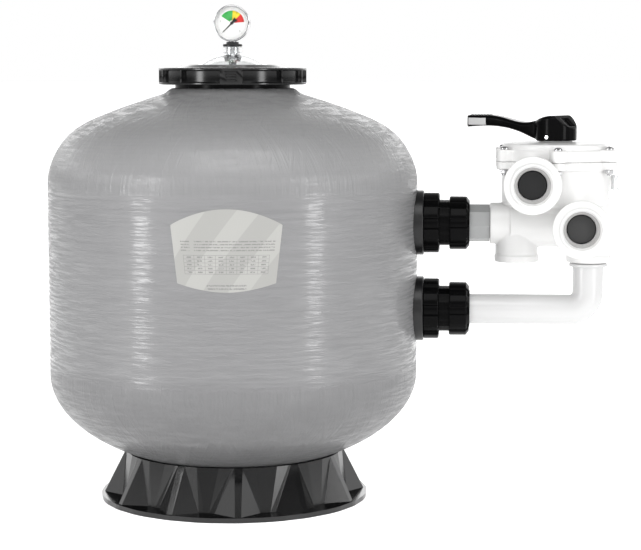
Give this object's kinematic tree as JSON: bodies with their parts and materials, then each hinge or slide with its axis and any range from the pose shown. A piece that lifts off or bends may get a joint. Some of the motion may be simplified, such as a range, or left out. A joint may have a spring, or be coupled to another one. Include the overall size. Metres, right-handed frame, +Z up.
{
  "type": "side mount sand filter",
  "caption": "Round grey tank on a fluted black base, with a clear lid and pressure gauge on top and a white multiport valve joined to its side by unions.",
  "frame": {"origin": "bottom centre of the whole filter's box, on the floor; the tank's axis stands 167.3 mm to the -X side of it", "axes": "+Z up along the tank's axis, -Y the front that the gauge and two valve ports face, +X from the tank towards the valve"},
  "size_m": [0.9446, 0.61, 0.8151],
  "materials": {
    "tank": "glossy wound glass fibre, grey",
    "black_plastic": "black moulded plastic, slight gloss",
    "white_plastic": "white moulded plastic",
    "grey_plastic": "grey moulded plastic",
    "clear_plastic": "clear moulded plastic",
    "rubber": "black rubber",
    "steel": "stainless steel",
    "gauge_steel": "polished steel",
    "brass": "brass",
    "dial": "white dial"
  },
  "bodies": {
    "filter": {"tank_shell": "tank", "filter_base": "black_plastic", "neck_collar": "black_plastic", "lid_seal": "rubber", "inlet_pipe": "white_plastic", "outlet_pipe": "white_plastic", "diffuser": "black_plastic", "lateral_hub": "black_plastic", "lateral_1": "black_plastic", "lateral_2": "black_plastic", "lateral_3": "black_plastic", "lateral_4": "black_plastic", "lateral_5": "black_plastic", "lateral_6": "black_plastic", "lateral_7": "black_plastic", "lateral_8": "black_plastic", "upper_spacer": "black_plastic", "upper_gasket": "rubber", "upper_bulkhead_tube": "black_plastic", "upper_bulkhead_nut": "black_plastic", "upper_union_seal": "rubber", "lower_spacer": "black_plastic", "lower_gasket": "rubber", "lower_bulkhead_tube": "black_plastic", "lower_bulkhead_nut": "black_plastic", "lower_union_seal": "rubber", "union_adapter": "grey_plastic", "lower_union_tail": "black_plastic", "lower_pipe": "white_plastic", "valve_body": "white_plastic", "valve_cover": "white_plastic", "cover_seal": "rubber", "rotor_gasket": "rubber", "plug_seal": "rubber", "cover_bolt_1": "steel", "cover_bolt_2": "steel", "cover_bolt_3": "steel", "cover_bolt_4": "steel", "cover_bolt_5": "steel", "cover_bolt_6": "steel"},
    "lid": {"lid": "clear_plastic", "gauge_adapter": "black_plastic", "gauge_stem": "brass", "gauge_case": "gauge_steel", "gauge_dial": "dial", "gauge_lens": "clear_plastic", "bourdon_tube": "brass"},
    "lock_ring": {"lock_ring": "black_plastic"},
    "gauge_needle": {"gauge_pointer": "black_plastic"},
    "selector": {"slip_washer": "white_plastic"},
    "rotor_stem": {"rotor": "black_plastic", "handle_pin": "steel", "rotor_spring": "steel"},
    "handle": {"handle": "black_plastic"},
    "upper_union_nut": {"upper_union_nut": "black_plastic"},
    "lower_union_nut": {"lower_union_nut": "black_plastic"},
    "wing_plug": {"wing_plug": "clear_plastic"}
  },
  "joints": [
    {"name": "lid_lift", "type": "slide", "parent": "filter", "child": "lid", "axis": [0, 0, 1], "range_m": [0, 0.12]},
    {"name": "lock_ring_turn", "type": "hinge", "parent": "lid", "child": "lock_ring", "pos_m": [-0.1673, 0, 0.7], "axis": [0, 0, 1], "continuous": true},
    {"name": "gauge_needle_turn", "type": "hinge", "parent": "lid", "child": "gauge_needle", "pos_m": [-0.1673, 0, 0.78511], "axis": [0, 1, 0], "range_deg": [0, 270], "stiffness_Nm_per_rad": 0.001},
    {"name": "selector_turn", "type": "hinge", "parent": "filter", "child": "selector", "pos_m": [0.3627, 0, 0.5933], "axis": [0, 0, 1], "continuous": true},
    {"name": "stem_lift", "type": "slide", "parent": "selector", "child": "rotor_stem", "axis": [0, 0, 1], "range_m": [0, 0.0051], "deforming": ["rotor_spring"]},
    {"name": "handle_press", "type": "hinge", "parent": "rotor_stem", "child": "handle", "pos_m": [0.3627, 0, 0.6006], "axis": [-0.5, -0.866, 0], "range_deg": [0, 12], "stiffness_Nm_per_rad": 2, "springref_deg": -17.19},
    {"name": "upper_union_turn", "type": "hinge", "parent": "filter", "child": "upper_union_nut", "pos_m": [0.2027, 0, 0.459], "axis": [1, 0, 0], "continuous": true},
    {"name": "lower_union_turn", "type": "hinge", "parent": "filter", "child": "lower_union_nut", "pos_m": [0.2027, 0, 0.317], "axis": [1, 0, 0], "continuous": true},
    {"name": "wing_plug_turn", "type": "hinge", "parent": "filter", "child": "wing_plug", "pos_m": [0.4577, 0, 0.5265], "axis": [1, 0, 0], "continuous": true}
  ],
  "couplings": [
    {"joint": "stem_lift", "follows": "handle_press", "m_per_rad": 0.024}
  ]
}
